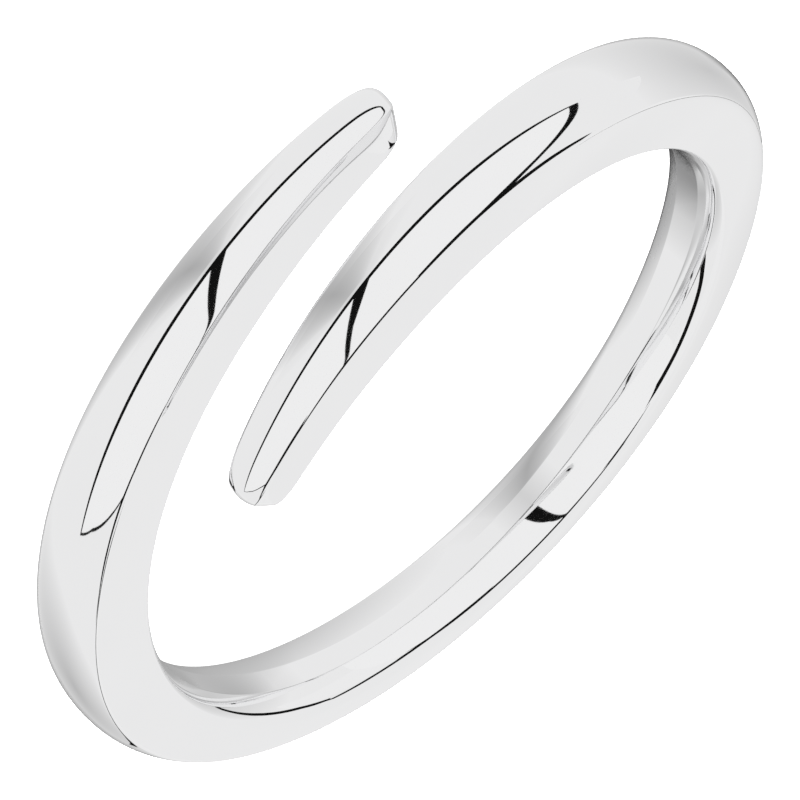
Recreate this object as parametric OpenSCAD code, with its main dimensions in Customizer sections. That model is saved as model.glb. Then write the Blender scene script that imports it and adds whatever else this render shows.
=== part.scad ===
// An open bypass ring, lying on its side as it comes to rest on a table.
// One bar of polished metal is wound once round the finger hole and its two arms pass each other
// at the front, one above the other, with a slit between them. Lengths are in millimetres and
// turns in degrees.
// The ring repeats itself after half a turn about the Y axis, so one table describes both arms.

/* [Finger hole] */
// Width of the finger hole where it is narrowest
hole_d = 17; // [15:0.25:21]
// Where on its quarter turn the rounding of an inside corner starts: from 0 it would leave the
// flat inside without a crease
corner_start = 33; // [20:1:45]

/* [Band] */
// Width of the band at the middle of the shank, between its two crisp edges
shank_w = 1.74; // [1.5:0.02:2]
// Thickness of the band at the middle of the shank
shank_t = 1.61; // [1.4:0.01:2]
// How far the arms are spread apart at the front, as a share of the ring shown
spread = 1; // [0.85:0.01:1.3]

/* [Tips] */
// Turn of each arm, from the middle of the shank to its tip
arm_turn = 207.7; // [200:0.1:210]
// Turn taken up by the rounding of a tip
tip_turn = 6.6; // [4:0.1:9]
// How square a tip is, seen from above the band: 0.5 is an ellipse and less is squarer
tip_plan = 0.34; // [0.25:0.01:0.6]
// How square a tip is, seen from beside the band
tip_side = 0.26; // [0.2:0.01:0.6]
// Height of a tip's end wall below the edges of the band
tip_drop = 0.43; // [0.2:0.01:0.6]

/* [Lie] */
// Tilt that lifts the front of the ring off the level, where the lower arm holds it up
lie_front = 4.9; // [0:0.1:8]
// Tilt towards the right
lie_right = 2.9; // [-4:0.1:4]

/* [Hidden] */

// Sections of the upper arm, every 30 degrees from the middle of the shank to just past the tip.
// Reach is measured outwards from the finger hole, height upwards from the ring's middle plane.
// An edge is where the crowned outside meets a side wall, a foot where a side wall turns in to
// the finger hole, and a corner is the rounding that leads from a foot to the flat inside.
//   turn, upper edge reach and height, lower edge reach and height, crown reach and height,
//   heights of the upper and lower foot, heights of the upper and lower end of the flat inside,
//   reaches of the upper and lower corner, fullness of the shoulders
SECTIONS = [
    [  0, 1.35, 0.87, 1.35, -0.87, 1.61, 0.00, 0.99, -0.99, 0.25, -0.25, 0.48, 0.48, -0.12],
    [ 30, 1.40, 0.88, 1.43, -0.87, 1.67, 0.01, 1.03, -1.01, 0.16, -0.37, 0.42, 0.58,  0.01],
    [ 60, 1.52, 0.94, 1.60, -0.81, 1.85, 0.08, 1.11, -1.01, 0.38, -0.36, 0.36, 0.52,  0.14],
    [ 90, 1.71, 1.27, 1.81, -0.68, 2.12, 0.33, 1.22, -0.57, 0.68, -0.03, 0.28, 0.30,  0.27],
    [120, 1.87, 1.75, 1.95, -0.41, 2.40, 0.72, 1.65, -0.24, 1.16,  0.25, 0.25, 0.25,  0.40],
    [150, 1.83, 2.14, 1.94,  0.13, 2.36, 1.16, 2.18,  0.16, 1.72,  0.62, 0.31, 0.31,  0.17],
    [180, 1.57, 2.44, 1.75,  0.88, 2.02, 1.73, 2.60,  0.64, 2.16,  1.08, 0.36, 0.36, -0.07],
    [210, 1.14, 2.71, 1.30,  1.66, 1.39, 2.29, 2.80,  1.32, 2.37,  1.75, 0.48, 0.48, -0.23]
];
TURN = 0;
UP_R = 1;
UP_Z = 2;
LOW_R = 3;
LOW_Z = 4;
CROWN_R = 5;
CROWN_Z = 6;
FOOT_UP = 7;
FOOT_LOW = 8;
FLAT_UP = 9;
FLAT_LOW = 10;
CORNER_UP = 11;
CORNER_LOW = 12;
FULL = 13;

// Fineness of the mesh: steps along the band, along a tip, over the crown, round a corner and
// across the inside
band_steps = 126;
tip_steps = 7;
crown_steps = 12;
corner_steps = 6;
inside_steps = 2;
// Where on its quarter turn the rounding of a tip stops, so that a small flat end is left
tip_end = 88;

hole_r = hole_d / 2;
row_turn = SECTIONS[1][TURN] - SECTIONS[0][TURN];
wide = shank_w / (2 * SECTIONS[0][UP_Z]);
thick = shank_t / SECTIONS[0][CROWN_R];

// The other arm is this one after half a turn about the Y axis
function half_turned(row) = [
    -row[TURN], row[LOW_R], -row[LOW_Z], row[UP_R], -row[UP_Z], row[CROWN_R], -row[CROWN_Z],
    -row[FOOT_LOW], -row[FOOT_UP], -row[FLAT_LOW], -row[FLAT_UP], row[CORNER_LOW],
    row[CORNER_UP], row[FULL]
];
rows = concat([for (i = [len(SECTIONS) - 1 : -1 : 1]) half_turned(SECTIONS[i])], SECTIONS);
last = len(rows) - 1;

// Past its two ends the table goes on in a straight line
function row_at(i) =
    i < 0 ? rows[0] + i * (rows[1] - rows[0]) :
    i > last ? rows[last] + (i - last) * (rows[last] - rows[last - 1]) :
    rows[i];

// A smooth cubic curve runs inside the rows that steer it, so each row is first moved out by the
// amount that the curve would miss it by
function steer(i) = row_at(i) - (row_at(i - 1) - 2 * row_at(i) + row_at(i + 1)) / 6;
steering = [for (i = [-1 : last + 1]) steer(i)];
function smooth_row(turn) =
    let (
        s = (turn - rows[0][TURN]) / row_turn,
        i = max(0, min(last - 1, floor(s))),
        f = s - i,
        g = 1 - f
    )
    (pow(g, 3) * steering[i] + (3 * pow(f, 3) - 6 * f * f + 4) * steering[i + 1]
        + (3 * pow(g, 3) - 6 * g * g + 4) * steering[i + 2] + pow(f, 3) * steering[i + 3]) / 6;

// Over the last of its turn an arm is drawn together in width, and its crown rolls down to the
// end wall. A station is a turn, with the shares of width and of rise that are left there.
plain_turn = arm_turn - tip_turn;
function tip_station(side, a) = [
    side * (plain_turn + tip_turn * sin(a)), pow(cos(a), tip_plan), pow(cos(a), tip_side)
];
tip_angles = [for (k = [1 : tip_steps]) tip_end * (1 - pow(1 - k / tip_steps, 2))];
stations = concat(
    [for (k = [tip_steps - 1 : -1 : 0]) tip_station(-1, tip_angles[k])],
    [for (k = [0 : band_steps]) [plain_turn * (2 * k / band_steps - 1), 1, 1]],
    [for (a = tip_angles) tip_station(1, a)]
);

// A corner as reach and height, from its foot to the flat inside. Its rounding is the last part
// of a quarter turn, so that it leaves the inside with a fine crease.
corner_turns = [for (k = [0 : corner_steps]) 90 - (90 - corner_start) * k / corner_steps];
function corner(foot, flat, reach) = [
    for (a = corner_turns) [
        reach * (1 - cos(a) / cos(corner_start)),
        flat + (foot - flat) * (sin(a) - sin(corner_start)) / (1 - sin(corner_start))
    ]
];

// Outline of the band at a station, as reach and height: over the crown from the upper edge to
// the lower one, round the lower corner, up the inside and round the upper corner
function outline(station) =
    let (
        row = smooth_row(station[0]),
        w = station[1],
        h = station[2],
        centre = (row[UP_Z] + row[LOW_Z]) / 2,
        middle = wide * centre + (spread - 1) * row[CROWN_Z],
        up_z = middle + w * wide * (row[UP_Z] - centre),
        low_z = middle + w * wide * (row[LOW_Z] - centre),
        crown_z = w * wide * (row[CROWN_Z] - centre),
        foot_up = middle + w * wide * (row[FOOT_UP] - centre),
        foot_low = middle + w * wide * (row[FOOT_LOW] - centre),
        flat_up = middle + w * wide * (row[FLAT_UP] - centre),
        flat_low = middle + w * wide * (row[FLAT_LOW] - centre),
        end_r = thick * (row[UP_R] + row[LOW_R]) / 2 - tip_drop,
        up_r = end_r + h * (thick * row[UP_R] - end_r),
        low_r = end_r + h * (thick * row[LOW_R] - end_r),
        rise = end_r + h * (thick * row[CROWN_R] - end_r) - (up_r + low_r) / 2,
        corner_up = corner(foot_up, flat_up, row[CORNER_UP])
    )
    concat(
        [for (k = [0 : crown_steps])
            let (t = k / crown_steps, bulge = 4 * t * (1 - t))
            [
                (1 - t) * up_r + t * low_r + bulge * (1 + row[FULL] * pow(2 * t - 1, 2)) * rise,
                (1 - t) * up_z + t * low_z + bulge * crown_z
            ]],
        corner(foot_low, flat_low, row[CORNER_LOW]),
        [for (k = [1 : inside_steps - 1]) [0, flat_low + (flat_up - flat_low) * k / inside_steps]],
        [for (k = [corner_steps : -1 : 0]) corner_up[k]]
    );

outlines = [for (s = stations) outline(s)];
outline_len = len(outlines[0]);

// The wound band, flat about its own axis, and then leaned over to the way it lies
wound = [
    for (i = [0 : len(stations) - 1])
        for (p = outlines[i])
            [-(hole_r + p[0]) * sin(stations[i][0]), (hole_r + p[0]) * cos(stations[i][0]), p[1]]
];
function leaned(p) =
    let (
        y = p[1] * cos(lie_front) + p[2] * sin(lie_front),
        z = p[2] * cos(lie_front) - p[1] * sin(lie_front)
    )
    [p[0] * cos(lie_right) + z * sin(lie_right), y, z * cos(lie_right) - p[0] * sin(lie_right)];
lying = [for (p = wound) leaned(p)];

// The origin is on the table, under the middle of the ring
function along(axis) = [for (p = lying) p[axis]];
origin = [(min(along(0)) + max(along(0))) / 2, (min(along(1)) + max(along(1))) / 2, min(along(2))];

skin = [
    for (i = [0 : len(stations) - 2])
        for (j = [0 : outline_len - 1])
            let (
                k = (j + 1) % outline_len,
                a = i * outline_len + j,
                b = i * outline_len + k,
                c = (i + 1) * outline_len + k,
                d = (i + 1) * outline_len + j
            )
            each [[c, b, a], [d, c, a]]
];
first_end = [for (j = [0 : outline_len - 1]) j];
last_end = [for (j = [outline_len - 1 : -1 : 0]) (len(stations) - 1) * outline_len + j];

module ring_band() {
    color([0.80, 0.81, 0.83])
        polyhedron([for (p = lying) p - origin], concat([first_end], skin, [last_end]));
}

ring_band();
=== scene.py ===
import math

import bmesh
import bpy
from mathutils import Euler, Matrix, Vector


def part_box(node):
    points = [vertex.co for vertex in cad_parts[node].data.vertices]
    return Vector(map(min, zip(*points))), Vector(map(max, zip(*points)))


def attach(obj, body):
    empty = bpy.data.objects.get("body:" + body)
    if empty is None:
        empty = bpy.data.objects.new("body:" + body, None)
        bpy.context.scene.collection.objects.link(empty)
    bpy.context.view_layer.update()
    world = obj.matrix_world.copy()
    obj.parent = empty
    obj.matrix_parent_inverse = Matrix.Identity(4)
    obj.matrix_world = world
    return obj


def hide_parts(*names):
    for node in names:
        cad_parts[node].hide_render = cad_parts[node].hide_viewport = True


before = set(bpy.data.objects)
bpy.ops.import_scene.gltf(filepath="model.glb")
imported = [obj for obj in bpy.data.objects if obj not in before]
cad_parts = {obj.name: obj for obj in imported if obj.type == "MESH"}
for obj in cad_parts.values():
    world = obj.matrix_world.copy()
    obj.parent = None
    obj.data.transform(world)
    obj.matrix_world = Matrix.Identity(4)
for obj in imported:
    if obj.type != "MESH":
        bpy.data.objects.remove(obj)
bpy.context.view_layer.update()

# %% [markdown]
# # An open bypass ring in polished silver
# One bar of silver is wound once round the finger hole, and its two arms pass each other at the front.
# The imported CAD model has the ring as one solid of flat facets. A mirror finish shows every facet, so this
# lesson models the same ring again as one smooth surface, gives it a polished silver finish, and sets it
# among the lights and cards of a small photo studio, because a mirror looks like what stands round it.

MM = 0.001  # a millimetre, because Blender works in metres

# %% [markdown]
# ## Sections of an arm
# A goldsmith files such a ring section by section, and a table says what each section measures. There is
# a row for every 30 degrees of turn, from the middle of the shank at the back to just past the tip. Reach
# is measured outwards from the finger hole and height upwards from the ring's middle plane, in
# millimetres. The outside is a crown between two crisp edges. A side wall runs in from each edge to a
# foot, and from there a rounded corner leads on to the flat inside. The last column says how full the
# crown's shoulders are. A formula could stretch one section along the arm instead, but a real arm widens,
# leans and flattens by eye, and a table can follow that.

# %% The table of sections
HOLE_R = 8.5   # half the width of the finger hole, in millimetres
ROW_TURN = 30  # degrees of turn from one row to the next
COLUMNS = (
    "up_r up_z low_r low_z crown_r crown_z foot_up foot_low flat_up flat_low corner_up corner_low full"
).split()
SECTIONS = [
    [1.35, 0.87, 1.35, -0.87, 1.61, 0.00, 0.99, -0.99, 0.25, -0.25, 0.48, 0.48, -0.12],
    [1.40, 0.88, 1.43, -0.87, 1.67, 0.01, 1.03, -1.01, 0.16, -0.37, 0.42, 0.58, 0.01],
    [1.52, 0.94, 1.60, -0.81, 1.85, 0.08, 1.11, -1.01, 0.38, -0.36, 0.36, 0.52, 0.14],
    [1.71, 1.27, 1.81, -0.68, 2.12, 0.33, 1.22, -0.57, 0.68, -0.03, 0.28, 0.30, 0.27],
    [1.87, 1.75, 1.95, -0.41, 2.40, 0.72, 1.65, -0.24, 1.16, 0.25, 0.25, 0.25, 0.40],
    [1.83, 2.14, 1.94, 0.13, 2.36, 1.16, 2.18, 0.16, 1.72, 0.62, 0.31, 0.31, 0.17],
    [1.57, 2.44, 1.75, 0.88, 2.02, 1.73, 2.60, 0.64, 2.16, 1.08, 0.36, 0.36, -0.07],
    [1.14, 2.71, 1.30, 1.66, 1.39, 2.29, 2.80, 1.32, 2.37, 1.75, 0.48, 0.48, -0.23],
]
print(len(SECTIONS), "rows of", len(COLUMNS), "sizes")

# %% The rows of both arms
def half_turned(row):
    """The same section of the other arm: this one after half a turn about the Y axis."""
    up_r, up_z, low_r, low_z, crown_r, crown_z = row[:6]
    foot_up, foot_low, flat_up, flat_low, corner_up, corner_low, full = row[6:]
    return [
        low_r, -low_z, up_r, -up_z, crown_r, -crown_z,
        -foot_low, -foot_up, -flat_low, -flat_up, corner_low, corner_up, full,
    ]


other_arm = [half_turned(row) for row in reversed(SECTIONS[1:])]
ROWS = [Vector(row) for row in other_arm + SECTIONS]
print(len(ROWS), "rows from tip to tip")

# %% [markdown]
# ## A smooth curve through the rows
# Between two rows the sizes must flow without a kink, or the mirror would show a crease across the band.
# Straight lines would kink at every row. A cubic B-spline is smooth but runs inside the rows that steer
# it, so each row is first moved out by what the curve would miss it by.

# %% A section at any turn
def row_at(i):
    """Row i of both arms. Past its two ends the table goes on in a straight line."""
    last = len(ROWS) - 1
    if i < 0:
        return ROWS[0] + i * (ROWS[1] - ROWS[0])
    return ROWS[i] if i <= last else ROWS[last] + (i - last) * (ROWS[last] - ROWS[last - 1])


def steer(i):
    """Row i, moved out by what the curve would miss it by."""
    return row_at(i) - (row_at(i - 1) - 2 * row_at(i) + row_at(i + 1)) / 6


def section_at(turn):
    """The section at a turn in degrees, as a size for each column: a cubic B-spline through the rows."""
    s = turn / ROW_TURN + len(SECTIONS) - 1
    i = min(int(s), len(ROWS) - 2)
    f = s - i
    g = 1 - f
    row = (
        g**3 * steer(i - 1)
        + (3 * f**3 - 6 * f * f + 4) * steer(i)
        + (3 * g**3 - 6 * g * g + 4) * steer(i + 1)
        + f**3 * steer(i + 2)
    ) / 6
    return dict(zip(COLUMNS, row))


print("section at the widest part of an arm:", {k: round(v, 2) for k, v in section_at(120).items()})

# %% [markdown]
# ## Stations along an arm
# A station is a turn at which the band gets a section. They stand evenly along the band. At the tip they
# crowd together, and there each has less width and less rise than the one before, so that the arm ends
# in a soft, rather square nose, as a filed and polished wire end does.

# %% The stations
ARM_TURN = 207.7  # degrees from the middle of the shank to the tip
TIP_TURN = 6.6    # the last of them, over which the tip is rounded
TIP_PLAN = 0.34   # how square a tip is, seen from above: 0.5 is an ellipse, and less is squarer
TIP_SIDE = 0.26   # the same, seen from beside it
TIP_END = 86      # where on its quarter turn the rounding stops, so that a small flat end is left
BAND_STATIONS = 60
TIP_STATIONS = 8


def stations():
    """Turn of each station, with the shares of width and of rise that are left there."""
    plain = ARM_TURN - TIP_TURN
    made = [(plain * k / BAND_STATIONS, 1.0, 1.0) for k in range(BAND_STATIONS + 1)]
    for k in range(1, TIP_STATIONS + 1):
        a = math.radians(TIP_END * (1 - (1 - k / TIP_STATIONS) ** 2))
        made.append((plain + TIP_TURN * math.sin(a), math.cos(a) ** TIP_PLAN, math.cos(a) ** TIP_SIDE))
    return made


print(len(stations()), "stations along each arm")

# %% [markdown]
# ## The outline of one section
# The outline goes over the crown from the upper edge to the lower one, in along the lower side wall, round
# the lower corner, up the flat inside and back round the upper corner. A corner is the last part of a
# quarter turn, which leaves a fine crease where it meets the flat. Two points close together hold a crease
# in a subdivided cage, so each edge has a point just before it and one just after it.

# %% A rounded corner
CORNER_START = math.radians(33)  # where on its quarter turn a corner starts: 0 would leave no crease
QUARTER = math.pi / 2


def corner(foot, flat, reach, share):
    """A point of a corner as reach and height: share 0 is at the flat inside and share 1 at the foot."""
    a = CORNER_START + (QUARTER - CORNER_START) * share
    c, d = math.cos(CORNER_START), math.sin(CORNER_START)
    return Vector((reach * (1 - math.cos(a) / c), flat + (foot - flat) * (math.sin(a) - d) / (1 - d)))


print("half way round a corner:", [round(v, 3) for v in corner(0.99, 0.25, 0.48, 0.5)])

# %% The crown between the two edges
def crown(size, t):
    """A point of the crown as reach and height: t 0 is at the upper edge and t 1 at the lower one."""
    bulge = 4 * t * (1 - t)
    lift = size["crown_r"] - (size["up_r"] + size["low_r"]) / 2
    middle = (size["up_z"] + size["low_z"]) / 2
    return Vector((
        (1 - t) * size["up_r"] + t * size["low_r"] + bulge * (1 + size["full"] * (2 * t - 1) ** 2) * lift,
        (1 - t) * size["up_z"] + t * size["low_z"] + bulge * (size["crown_z"] - middle),
    ))


print("middle of the crown:", [round(v, 3) for v in crown(section_at(0), 0.5)])

# %% Sizes near a tip
TIP_DROP = 0.43  # how far below the edges the end wall stands, in millimetres
HEIGHTS = ["up_z", "low_z", "crown_z", "foot_up", "foot_low", "flat_up", "flat_low"]


def sizes(turn, width, rise):
    """The section at a turn, drawn together in width and rolled down to the end wall."""
    size = section_at(turn)
    middle = (size["up_z"] + size["low_z"]) / 2
    for key in HEIGHTS:
        size[key] = middle + width * (size[key] - middle)
    end_r = (size["up_r"] + size["low_r"]) / 2 - TIP_DROP
    for key in ("up_r", "low_r", "crown_r"):
        size[key] = end_r + rise * (size[key] - end_r)
    return size


print("sizes at a tip's last station:", {k: round(v, 2) for k, v in sizes(*stations()[-1]).items()})

# %% The whole outline
CROWN_STEPS = 12
CORNER_STEPS = 8
INSIDE_STEPS = 4
EDGE = 0.04           # how far before and after an edge its two points stand, in millimetres
PILLOW = 0.015        # how far a side wall swells
CREASE = 0.008        # how far from a crease the first point on the flat stands
CREASE_SHARE = 0.012  # where the first point on the corner stands, as a share of the corner


def towards(here, there, step):
    """A point this far from here on the way there."""
    return here + (there - here).normalized() * step


def outline(turn, width, rise):
    """Points of the section as reach and height, once round."""
    size = sizes(turn, width, rise)
    low, up = size["flat_low"], size["flat_up"]

    def low_corner(share):
        return corner(size["foot_low"], low, size["corner_low"], share)

    def up_corner(share):
        return corner(size["foot_up"], up, size["corner_up"], share)

    up_edge, low_edge = crown(size, 0), crown(size, 1)
    low_foot, up_foot = low_corner(1), up_corner(1)
    soft = EDGE * width
    pillow = Vector((0, PILLOW * width))
    points = [towards(up_edge, crown(size, 1 / CROWN_STEPS), soft)]
    points += [crown(size, k / CROWN_STEPS) for k in range(1, CROWN_STEPS)]
    points += [towards(low_edge, crown(size, 1 - 1 / CROWN_STEPS), soft), towards(low_edge, low_foot, soft)]
    points += [(low_edge + low_foot) / 2 - pillow]
    points += [low_corner(1 - k / CORNER_STEPS) for k in range(CORNER_STEPS)] + [low_corner(CREASE_SHARE)]
    points += [Vector((0, low + CREASE)), Vector((0, low + 3 * CREASE))]
    points += [Vector((0, low + (up - low) * k / INSIDE_STEPS)) for k in range(1, INSIDE_STEPS)]
    points += [Vector((0, up - 3 * CREASE)), Vector((0, up - CREASE))]
    points += [up_corner(CREASE_SHARE)] + [up_corner(k / CORNER_STEPS) for k in range(1, CORNER_STEPS + 1)]
    points += [(up_edge + up_foot) / 2 + pillow, towards(up_edge, up_foot, soft)]
    return points


SECTION_POINTS = len(outline(0, 1, 1))
print(SECTION_POINTS, "points round each section")

# %% [markdown]
# ## Working by hand in edit mode
# The next helpers do what a hand does in edit mode: clear the selection, pick some points, and move them
# with the transform operator. An operator acts on all that is selected, so each step starts by selecting
# nothing and then picks its own points.

# %% Helpers for edit mode
def start_alone():
    """Object mode, with nothing selected: the frame leaves the CAD node selected."""
    if bpy.context.mode != "OBJECT":
        bpy.ops.object.mode_set(mode="OBJECT")
    bpy.ops.object.select_all(action="DESELECT")


def select_points(piece, picked):
    """In edit mode, selects just these points of the piece."""
    cage = bmesh.from_edit_mesh(piece.data)
    cage.verts.ensure_lookup_table()
    bpy.ops.mesh.select_all(action="DESELECT")
    for i in picked:
        cage.verts[i].select = True
    cage.select_flush_mode()
    bmesh.update_edit_mesh(piece.data)


def set_points(piece, order, targets):
    """Moves each picked point to its place, one after the other."""
    cage = bmesh.from_edit_mesh(piece.data)
    cage.verts.ensure_lookup_table()
    steps = [target - cage.verts[i].co for i, target in zip(order, targets)]
    for i, step in zip(order, steps):
        cage = bmesh.from_edit_mesh(piece.data)
        for v in cage.verts:
            v.select = v.index == i
        bpy.ops.transform.translate(value=step)


def extrude_open_end(piece, order):
    """Extrudes the edges between the points at the open end, and gives the new points in the same order."""
    select_points(piece, order)
    bpy.ops.mesh.select_mode(type="EDGE")
    bpy.ops.mesh.extrude_region_move()
    bpy.ops.mesh.select_mode(type="VERT")
    cage = bmesh.from_edit_mesh(piece.data)
    cage.verts.ensure_lookup_table()
    new = [v.index for v in cage.verts if v.select]
    old = [cage.verts[i].co.copy() for i in order]
    return [min(new, key=lambda i: (cage.verts[i].co - at).length_squared) for at in old]


print("helpers ready, mode", bpy.context.mode)

# %% [markdown]
# ## One arm, drawn out of its section
# The arm starts as a mesh circle with as many points as a section. Its size doesn't matter, because the
# circle is pressed into the section at the middle of the shank. Then its open end is extruded and set on
# the next section, again and again, as wire is drawn. A spin would be quicker, but its sections would all
# be alike, and here each has its own width, lean and crown. The cage is coarse, and a Subdivision Surface
# smooths it in the end.

# %% The arm's cage
def place(turn, point):
    """A point of a section, as a place in metres in the ring's own upright frame."""
    a = math.radians(turn)
    r = HOLE_R + point[0]
    return Vector((-r * math.sin(a), r * math.cos(a), point[1])) * MM


def draw_arm():
    """One arm, from the middle of the shank to its closed tip."""
    start_alone()
    bpy.ops.mesh.primitive_circle_add(vertices=SECTION_POINTS, radius=MM)
    made = bpy.context.object
    made.name = "ring_arm"
    bpy.ops.object.mode_set(mode="EDIT")
    bpy.ops.mesh.select_mode(type="VERT")
    order = list(range(SECTION_POINTS))
    for k, (turn, width, rise) in enumerate(stations()):
        if k:
            order = extrude_open_end(made, order)
        set_points(made, order, [place(turn, p) for p in outline(turn, width, rise)])
    select_points(made, order)
    bpy.ops.mesh.edge_face_add()
    bpy.ops.object.mode_set(mode="OBJECT")
    return made


arm = draw_arm()
print("arm cage:", len(arm.data.vertices), "points", len(arm.data.polygons), "faces")

# %% [markdown]
# ## The other arm
# The ring looks the same after half a turn about the axis that runs from its back to its front, so the
# second arm is a turned copy of the first. A mirrored copy would wind the wrong way. The two cages share
# the section at the middle of the shank, and merging its doubled points makes one closed skin.

# %% Copy, turn and join
SAME_PLACE = 0.001 * MM  # points closer than this are one
start_alone()
arm.select_set(True)
bpy.context.view_layer.objects.active = arm
bpy.ops.object.duplicate()
bpy.ops.transform.rotate(value=math.pi, orient_axis="Y", center_override=(0, 0, 0))
bpy.ops.object.transform_apply(location=True, rotation=True, scale=True)
arm.select_set(True)
bpy.context.view_layer.objects.active = arm
bpy.ops.object.join()
ring = arm
ring.name = "ring_body"
ring.data.name = "ring_body"
bpy.ops.object.mode_set(mode="EDIT")
bpy.ops.mesh.select_all(action="SELECT")
bpy.ops.mesh.remove_doubles(threshold=SAME_PLACE)
bpy.ops.mesh.normals_make_consistent(inside=False)
bpy.ops.object.mode_set(mode="OBJECT")
print("ring cage:", len(ring.data.vertices), "points", len(ring.data.polygons), "faces")

# %% Smooth the cage
SMOOTH_LEVELS = 2
smoother = ring.modifiers.new("smooth_band", "SUBSURF")
smoother.levels = SMOOTH_LEVELS
smoother.render_levels = SMOOTH_LEVELS
bpy.ops.object.modifier_apply(modifier=smoother.name)
bpy.ops.object.shade_smooth()
print("ring:", 2 * len(ring.data.polygons), "triangles")

# %% [markdown]
# ## How the ring lies
# Set down on its side, the ring doesn't stay level. The lower arm's tip holds the front up, so it leans
# back until three points of its lower rim touch the table. The lean was found by letting the CAD solid come
# to rest, and the new surface is leaned the same way and set on the same table.

# %% Lean the ring and set it on the table
LIE_FRONT = math.radians(4.9)  # lifts the front, where the lower arm holds it up
LIE_RIGHT = math.radians(2.9)  # tilts it towards the right
ring.rotation_euler = Euler((-LIE_FRONT, LIE_RIGHT, 0))
bpy.context.view_layer.update()
spots = [ring.matrix_world @ v.co for v in ring.data.vertices]
low = Vector([min(p[i] for p in spots) for i in range(3)])
high = Vector([max(p[i] for p in spots) for i in range(3)])
node_low, node_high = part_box("ring_band")
shift = (node_low + node_high) / 2 - (low + high) / 2
ring.location = (shift.x, shift.y, node_low.z - low.z)
bpy.context.view_layer.update()
ring_place = ring.matrix_world.copy()
bpy.ops.object.transform_apply(location=True, rotation=True, scale=True)
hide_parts("ring_band")
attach(ring, "root")
print("ring set down, moved by", [round(v / MM, 3) for v in ring_place.translation], "mm")

# %% [markdown]
# ## Polished silver
# The ring is bright polished silver: a mirror with hardly a trace of the buffing wheel. The wheel ran along
# the band, so its marks are long that way and very narrow across it. Noise gives them, read by the distance
# from the ring's axis and the height, and only slowly by the place along the band. A noise with four inputs
# is used because a turn about the axis would jump where it closes. The marks make the metal a little duller
# and lift it by far less than a thousandth of a millimetre, and a broad, faint cloud varies its tone.

# %% Where a point is on the band
def node(tree, kind, **inputs):
    """A new shader node with these inputs set."""
    made = tree.nodes.new("ShaderNode" + kind)
    for name, value in inputs.items():
        made.inputs[name.replace("_", " ")].default_value = value
    return made


SLOW_ALONG = 0.02  # how fast the marks change along the band, beside how fast they change across it
silver = bpy.data.materials.new("polished_silver")
silver.use_nodes = True
tree = silver.node_tree
link = tree.links.new
finish = tree.nodes["Principled BSDF"]
where = node(tree, "TexCoord")
parts = node(tree, "SeparateXYZ")
flat_way = node(tree, "VectorMath")
flat_way.operation = "MULTIPLY"
flat_way.inputs[1].default_value = (1, 1, 0)
from_axis = node(tree, "VectorMath")
from_axis.operation = "LENGTH"
slow_x = node(tree, "Math")
slow_y = node(tree, "Math")
for slow in (slow_x, slow_y):
    slow.operation = "MULTIPLY"
    slow.inputs[1].default_value = SLOW_ALONG
on_band = node(tree, "CombineXYZ")
link(where.outputs["Object"], parts.inputs[0])
link(where.outputs["Object"], flat_way.inputs[0])
link(flat_way.outputs[0], from_axis.inputs[0])
link(parts.outputs["X"], slow_x.inputs[0])
link(parts.outputs["Y"], slow_y.inputs[0])
link(from_axis.outputs["Value"], on_band.inputs["X"])
link(parts.outputs["Z"], on_band.inputs["Y"])
link(slow_x.outputs[0], on_band.inputs["Z"])
print("band coordinates:", [n.bl_idname for n in (parts, flat_way, from_axis, on_band)])

# %% The marks of the buffing wheel
MARKS_PER_M = 9000.0
MARK_DETAIL = 2.0
MARK_DEPTH = 0.0002 * MM
MARK_STRENGTH = 0.3
DULLNESS = (0.022, 0.042)  # the least and the most roughness
marks = node(tree, "TexNoise", Scale=MARKS_PER_M, Detail=MARK_DETAIL)
marks.noise_dimensions = "4D"
dull = node(tree, "MapRange", To_Min=DULLNESS[0], To_Max=DULLNESS[1])
lift = node(tree, "Bump", Strength=MARK_STRENGTH, Distance=MARK_DEPTH)
link(on_band.outputs[0], marks.inputs["Vector"])
link(slow_y.outputs[0], marks.inputs["W"])
link(marks.outputs["Fac"], dull.inputs["Value"])
link(marks.outputs["Fac"], lift.inputs["Height"])
link(dull.outputs["Result"], finish.inputs["Roughness"])
link(lift.outputs["Normal"], finish.inputs["Normal"])
print("buffing marks about", round(1 / MARKS_PER_M / MM, 2), "mm apart")

# %% The tone of the metal
SILVER = [(0.925, 0.925, 0.93, 1), (0.955, 0.955, 0.96, 1)]
CLOUDS_PER_M = 260.0
CLOUD_DETAIL = 3.0
cloud = node(tree, "TexNoise", Scale=CLOUDS_PER_M, Detail=CLOUD_DETAIL)
tone = node(tree, "Mix")
tone.data_type = "RGBA"
for socket, colour in zip([s for s in tone.inputs if s.type == "RGBA"], SILVER):
    socket.default_value = colour
link(where.outputs["Object"], cloud.inputs["Vector"])
link(cloud.outputs["Fac"], tone.inputs[0])
link([s for s in tone.outputs if s.type == "RGBA"][0], finish.inputs["Base Color"])
finish.inputs["Metallic"].default_value = 1.0
ring.data.materials.clear()
ring.data.materials.append(silver)
print("silver on", ring.name, "with", len(tree.nodes), "nodes")

# %% [markdown]
# ## A pale table
# The ring lies on a light table, as small goods often do: a white floor lit from below, on which the ring
# throws next to no shadow. The floor is a wide disc that ends beyond the camera's view, and it glows. The
# silver doesn't show it, because the cards further on say what the underside of the ring sees.

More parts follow.
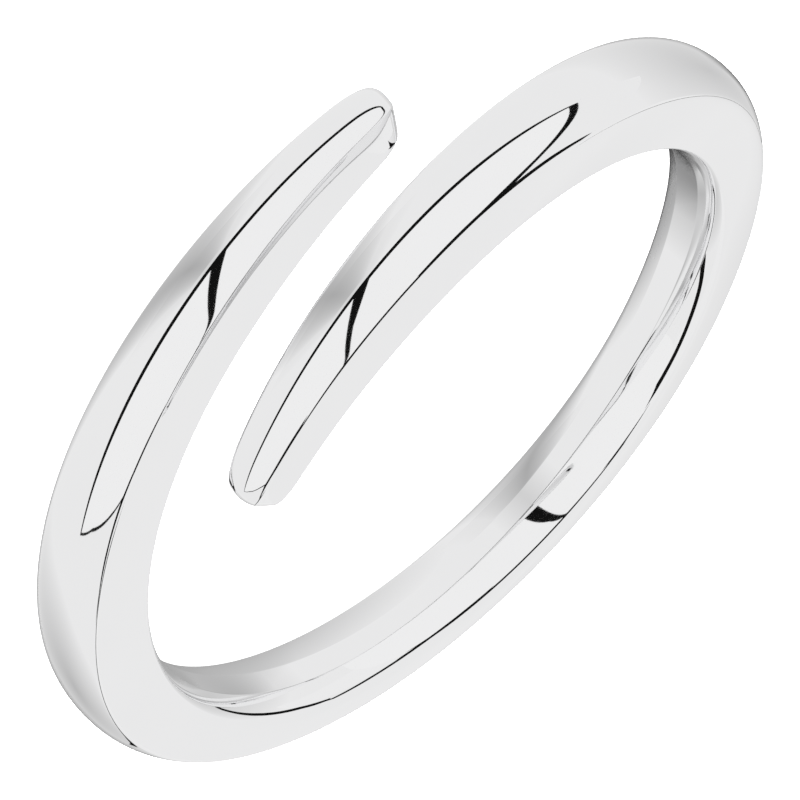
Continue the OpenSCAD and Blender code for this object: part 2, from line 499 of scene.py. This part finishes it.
# %% The floor
FLOOR_R = 1.2
FLOOR_POINTS = 96
FLOOR_GLOW = 0.9
start_alone()
bpy.ops.mesh.primitive_circle_add(vertices=FLOOR_POINTS, radius=FLOOR_R, fill_type="NGON")
floor = bpy.context.object
floor.name = "floor"
pale = bpy.data.materials.new("pale_floor")
pale.use_nodes = True
paper = pale.node_tree.nodes["Principled BSDF"]
for name, value in {
    "Base Color": (0.93, 0.93, 0.93, 1),
    "Roughness": 1.0,
    "Specular IOR Level": 0.0,
    "Emission Color": (1, 1, 1, 1),
    "Emission Strength": FLOOR_GLOW,
}.items():
    paper.inputs[name].default_value = value
floor.data.materials.append(pale)
floor.visible_glossy = False
print("floor", [round(v, 2) for v in floor.dimensions])

# %% [markdown]
# ## Cards round the ring
# A mirror has no shading of its own. Its greys, and the crisp black lines that run along the band, are
# pictures of dark and light cards that stand round the ring. Each card glows evenly, or fades out from its
# middle, and is seen only in the metal. The cards are placed in the ring's own upright frame and then
# leaned with it, so that what the metal shows stays where it is when the ring's lie changes. A painted
# reflection would be simpler to aim, but it would stay put when the view turns.

# %% What a card is made of
def glow(name, strength, fade=None):
    """An even glow, or one that fades from full strength at a centre to clear at a reach, in metres."""
    made = bpy.data.materials.new(name)
    made.use_nodes = True
    tree = made.node_tree
    tree.nodes.clear()
    light = node(tree, "Emission", Strength=strength)
    out = node(tree, "OutputMaterial")
    if fade is None:
        tree.links.new(light.outputs[0], out.inputs[0])
        return made
    where = node(tree, "TexCoord")
    fit = node(tree, "Mapping")
    fit.vector_type = "TEXTURE"
    fit.inputs["Location"].default_value = fade[0]
    fit.inputs["Scale"].default_value = fade[1]
    ball = node(tree, "TexGradient")
    ball.gradient_type = "SPHERICAL"
    clear = node(tree, "BsdfTransparent")
    mix = node(tree, "MixShader")
    tree.links.new(where.outputs["Object"], fit.inputs[0])
    tree.links.new(fit.outputs[0], ball.inputs[0])
    tree.links.new(ball.outputs["Fac"], mix.inputs[0])
    tree.links.new(clear.outputs[0], mix.inputs[1])
    tree.links.new(light.outputs[0], mix.inputs[2])
    tree.links.new(mix.outputs[0], out.inputs[0])
    return made


BLACK_GLOW = 0.006
PANEL_GLOW = 0.90
WHITE_GLOW = 0.88
black = glow("black_card", BLACK_GLOW)
bright = glow("light_panel", PANEL_GLOW)
white = glow("white_card", WHITE_GLOW)
print("cards:", black.name, bright.name, white.name)

# %% Cut a card and hang it
def hang(made, finish):
    """Leans the card with the ring and lets only the metal see it."""
    made.data.materials.append(finish)
    made.matrix_world = ring_place
    made.visible_camera = False
    made.visible_diffuse = False
    made.visible_shadow = False


def cut_card(name, corners):
    """A flat card with these corners, left in edit mode."""
    start_alone()
    bpy.ops.mesh.primitive_circle_add(vertices=len(corners), radius=1.0, fill_type="NGON")
    made = bpy.context.object
    made.name = name
    bpy.ops.object.mode_set(mode="EDIT")
    bpy.ops.mesh.select_mode(type="VERT")
    set_points(made, range(len(corners)), corners)
    return made


ROUNDING_STEPS = 10


def card(name, corners, finish, rounding=0.0, rounded=()):
    """A finished card. The corners whose numbers are in rounded are rounded off by this many metres."""
    made = cut_card(name, corners)
    if rounding:
        select_points(made, rounded)
        bpy.ops.mesh.bevel(offset=rounding, segments=ROUNDING_STEPS, affect="VERTICES")
    bpy.ops.object.mode_set(mode="OBJECT")
    hang(made, finish)


print("card helpers ready")

# %% [markdown]
# ## Two light panels in a dark frame
# In front of the ring stand two tall light panels with a narrow dark gap between them, and a dark frame
# round both. The crowned outside squeezes the pair into two bright bands, and the gap gives the thin dark
# line that crosses each arm.

# %% The panels and their frame
PANEL_AWAY = 1.0   # metres
FRAME_AWAY = 1.02  # just behind the panels
PANEL_FOOT = -0.17
GAP_TOP = 3.3
LEFT_ROUNDING = 1.2
RIGHT_ROUNDING = 0.5


def in_front(corners, away):
    """Corners of an upright card in front of the ring. How far each is to the right and up is given as
    a share of the distance away."""
    return [Vector((x * away, -away, z * away)) for x, z in corners]


frame_corners = [
    (-9.5, -0.33), (6.35, -0.33), (4.55, 1.2), (4.1, 7.5), (3.2, 13.0), (-3.6, 13.0), (-9.5, 6.5),
]
left_corners = [
    (-6.0, PANEL_FOOT), (-0.10, PANEL_FOOT), (0.04, 0.8), (0.24, GAP_TOP), (-1.7, 4.0), (-6.0, 4.8),
]
right_corners = [
    (0.02, PANEL_FOOT), (5.6, PANEL_FOOT), (4.1, 1.2), (3.6, 5.6), (1.7, 4.7), (0.30, GAP_TOP), (0.10, 0.8),
]
left_outer_top = left_corners.index((-6.0, 4.8))
right_outer_top = right_corners.index((3.6, 5.6))
card("dark_frame", in_front(frame_corners, FRAME_AWAY), black)
card("left_light", in_front(left_corners, PANEL_AWAY), bright, LEFT_ROUNDING, (left_outer_top,))
card("right_light", in_front(right_corners, PANEL_AWAY), bright, RIGHT_ROUNDING, (right_outer_top,))
print("panels", PANEL_FOOT, "to", GAP_TOP, "m high at the gap")

# %% [markdown]
# ## Dark strips over the sides
# The crease along each arm's upper edge shows as a thin dark line all the way round. It is a dark strip
# that bends over each side of the ring, high in front and lower towards the back. A strip is drawn out
# like the arm: from one end card, edge by edge.

# %% The strips
STRIP_AWAY = 1.1  # distance from the ring, in metres
STRIP_STEPS = 8   # faces from one row of the path to the next


def way(azimuth, elevation):
    """The direction at these degrees round from the front, to the right, and up."""
    a, e = math.radians(azimuth), math.radians(elevation)
    return Vector((math.sin(a) * math.cos(e), -math.cos(a) * math.cos(e), math.sin(e)))


def strip(name, side, path):
    """A dark strip along a path of rows with azimuth, elevation and half width in degrees.
    Side is 1 for the right and -1 for the left."""
    fine = [
        [a + (b - a) * k / STRIP_STEPS for a, b in zip(here, there)]
        for here, there in zip(path, path[1:])
        for k in range(STRIP_STEPS)
    ] + [list(path[-1])]
    pairs = []
    for k, (azimuth, elevation, half) in enumerate(fine):
        here = way(side * azimuth, elevation)
        after, before = fine[min(k + 1, len(fine) - 1)], fine[max(k - 1, 0)]
        along = way(side * after[0], after[1]) - way(side * before[0], before[1])
        across = here.cross(along).normalized() * math.tan(math.radians(half))
        pairs.append([(here + across) * STRIP_AWAY, (here - across) * STRIP_AWAY])
    made = cut_card(name, [pairs[0][0], pairs[0][1], pairs[1][1], pairs[1][0]])
    end = [3, 2]
    for pair in pairs[2:]:
        end = extrude_open_end(made, end)
        set_points(made, end, pair)
    bpy.ops.object.mode_set(mode="OBJECT")
    hang(made, black)
    return made


left_path = [(50, 70, 4), (65, 63, 4), (80, 56, 4), (98, 48.5, 3), (115, 43, 2)]
right_path = [(50, 68, 4), (65, 60, 4), (80, 52, 3.5), (98, 48, 3), (125, 46, 3), (140, 41, 3)]
left_strip = strip("left_edge", -1, left_path)
right_strip = strip("right_edge", 1, right_path)
print("strips of", len(left_strip.data.polygons), "and", len(right_strip.data.polygons), "faces")

# %% [markdown]
# ## Soft grey cards
# The lower half of the band is lit by the white table and darkened softly where the room is behind it.
# Round cards that fade from their middle do this, a few far off. The few close under the ring are painted
# shadow: they stand for the ring's own shadow on the table, which the metal doesn't see. Two level
# cards below the front fade in the same way, and give the soft grey on the bands beside the dark gap line.

# %% Cards that fade out
DISC_POINTS = 48


def disc_corners(centre, across, upwards):
    """Points round a disc, from its middle and its two half widths."""
    turns = [2 * math.pi * k / DISC_POINTS for k in range(DISC_POINTS)]
    return [centre + across * math.cos(a) + upwards * math.sin(a) for a in turns]


def far_disc(name, azimuth, elevation, reach, strength, away):
    """A round card that faces the ring from this many metres away. Its reach is a share of that."""
    centre = way(azimuth, elevation)
    across = Vector((math.cos(math.radians(azimuth)), math.sin(math.radians(azimuth)), 0))
    upwards = across.cross(centre).normalized()
    corners = disc_corners(centre * away, across * reach * away, upwards * reach * away)
    card(name, corners, glow(name, strength, (centre * away, [reach * away] * 3)))


def painted_shadow_disc(name, x, y, z, reach, strength):
    """A level round card close under the ring, in millimetres: painted shadow of the ring on the table."""
    centre = Vector((x, y, z)) * MM
    corners = disc_corners(centre, Vector((reach * MM, 0, 0)), Vector((0, reach * MM, 0)))
    card(name, corners, glow(name, strength, (centre, [reach * MM, reach * MM, MM])))


def foot_card(name, across, back, height, strength, centre, reach):
    """A level card below the ring, in metres, with where it starts and ends across and towards the back."""
    (left, right), (near, far) = across, back
    corners = [Vector((x, y, height)) for x, y in [(left, near), (right, near), (right, far), (left, far)]]
    card(name, corners, glow(name, strength, ((*centre, height), (*reach, 1))))


print("soft card helpers ready")

# %% The soft cards
far_disc("grey_back", azimuth=180, elevation=-24, reach=0.42, strength=0.10, away=1.3)
foot_card(
    "dark_foot", across=(-0.4, 0.7), back=(-2.0, 2.4), height=-0.98, strength=0.42,
    centre=(0.12, -0.4), reach=(0.29, 4.5),
)
far_disc("grey_right", azimuth=140, elevation=-14, reach=0.70, strength=0.50, away=1.35)
far_disc("grey_left", azimuth=-142, elevation=-10, reach=0.90, strength=0.60, away=1.36)
foot_card(
    "grey_foot", across=(-0.9, 1.4), back=(-4.6, -0.3), height=-1.0, strength=0.66,
    centre=(0.10, -2.2), reach=(0.55, 3.0),
)
# Painted shadow: the next three discs are darker than the room and stand for the ring's shadow on the table.
painted_shadow_disc("painted_shadow_right", x=-9.2, y=7.8, z=-2.6, reach=6.0, strength=0.0)
painted_shadow_disc("painted_shadow_mid", x=-1.5, y=13.8, z=-5.0, reach=5.0, strength=0.35)
painted_shadow_disc("painted_shadow_left", x=7.6, y=6.6, z=-2.6, reach=6.5, strength=0.42)
print("8 soft cards")

# %% [markdown]
# ## Small cards close beside the ring
# The hollow inside of the ring sees only what stands close beside it. There the photograph shows one long
# dark shape with a bright middle, like a lens. A black leg on each side makes the dark rim. Behind it
# stands a white wall, and further out a low white card, and they keep the metal beside the rim bright. One
# small white card stands nearer than the left leg, which it hides from the tip of an arm. Each card is cut
# to shape, stands upright beside the ring, and is given in millimetres as how far back and how high its
# corners are.

# %% The side cards
NEAR_X, LEG_X, WALL_X, LOW_X = 12, 16, 16.05, 40  # how far to the side each kind stands
LOW_GLOW = 0.86
low_white = glow("low_white_card", LOW_GLOW)


def side_card(name, x, corners, finish):
    """An upright card that stands this far to the right, or to the left where x is below 0."""
    card(name, [Vector((x, y, z)) * MM for y, z in corners], finish)


print("low cards glow", LOW_GLOW)

# %% Cards at the left
side_card("left_low", -LOW_X, [(-2, -1.5), (4.5, -1.5), (4.5, 17), (-2, 17)], low_white)
side_card("left_near", -NEAR_X, [
    (5.5, 9), (9.3, 9), (9.7, 13), (9.2, 15.3), (8.3, 17), (6.5, 17), (5.5, 14),
], white)
side_card("left_wall", -WALL_X, [
    (2.3, 7.3), (14, 7.3), (14, 15), (12, 17), (8.3, 21), (4.5, 25), (2.3, 27.5),
], white)
side_card("left_leg", -LEG_X, [
    (13.2, 20.4), (13.3, 17.2), (13.8, 14.3), (17.9, 9.6), (23.1, 4.9), (25.6, 2.6), (27.4, -0.8),
    (28.3, -3), (29.0, -1), (27.6, 2.6), (25.9, 5.2), (23.9, 7.3), (19.8, 13.2), (16.1, 18.2),
    (16.2, 21), (15.6, 23.6),
], black)
print("4 cards at the left")

# %% Cards at the right
side_card("right_low", LOW_X, [(-7, -1.5), (0.5, -1.5), (0.5, 16), (-7, 16)], low_white)
side_card("right_wall", WALL_X, [(0.3, 6.9), (4, 6.9), (4, 12), (45, 12), (45, 50), (0.3, 50)], white)
side_card("right_leg", LEG_X, [
    (-3.2, 15), (1, 11.4), (4.5, 7.3), (8, 4), (10.2, 1.3), (15.5, -2.8),
    (15.1, -1.0), (10.6, 3.8), (5.6, 11.3), (3, 17), (-0.4, 23.5), (-3.2, 26),
], black)
print("3 cards at the right")

# %% [markdown]
# ## The room and its lamp
# Everything else that the metal sees is a pale room. A large round lamp overhead lights the table softly.

# %% World and lamp
ROOM_GLOW = 0.86
LAMP_HEIGHT = 1.5
LAMP_WIDTH = 1.2
LAMP_WATTS = 30.0
room = bpy.data.worlds.new("studio")
bpy.context.scene.world = room
room.use_nodes = True
air = room.node_tree.nodes["Background"]
air.inputs["Color"].default_value = (1, 1, 1, 1)
air.inputs["Strength"].default_value = ROOM_GLOW
start_alone()
bpy.ops.object.light_add(type="AREA", location=(0, 0, LAMP_HEIGHT))
lamp = bpy.context.object
lamp.name = "soft_lamp"
lamp.data.shape = "DISK"
lamp.data.size = LAMP_WIDTH
lamp.data.energy = LAMP_WATTS
lamp.visible_glossy = False
print("lamp", lamp.data.size, "m wide")

# %% [markdown]
# ## The camera
# The camera looks down on the ring's front from a little above, turned about its own axis as in the
# photograph. Its distance and angles come from fitting the ring's outline to the photograph. They are given
# in the ring's own upright frame, so the camera leans with the ring.

# %% Set up the camera
CAMERA_AWAY = 310.85 * MM
PIXELS_PER_MM = 42.795
PICTURE = 800  # pixels along each side
SENSOR = 36    # millimetres
AZIMUTH, ELEVATION = 1.20, 23.81  # degrees round from the front, and up
ROLL = math.radians(132.61)
ASIDE = Vector((0.426, -0.103)) * MM  # from the picture's middle to the ring's, to the right and up
back = way(AZIMUTH, ELEVATION)
right = Vector((0, 0, 1)).cross(back).normalized()
up = back.cross(right)
across = math.cos(ROLL) * right + math.sin(ROLL) * up
upright = -math.sin(ROLL) * right + math.cos(ROLL) * up
stand = Matrix((across, upright, back)).transposed().to_4x4()
stand.translation = back * CAMERA_AWAY - across * ASIDE.x - upright * ASIDE.y
bpy.ops.object.camera_add()
camera = bpy.context.object
camera.name = "camera"
camera.data.sensor_width = SENSOR
camera.data.lens = PIXELS_PER_MM / MM * CAMERA_AWAY * camera.data.sensor_width / PICTURE
camera.data.clip_start, camera.data.clip_end = 0.01, 10
camera.matrix_world = ring_place @ stand
bpy.context.scene.camera = camera
bpy.context.scene.view_settings.view_transform = "Standard"
print("camera at", [round(v, 3) for v in camera.matrix_world.translation], "m")
print("lens", round(camera.data.lens), "mm")
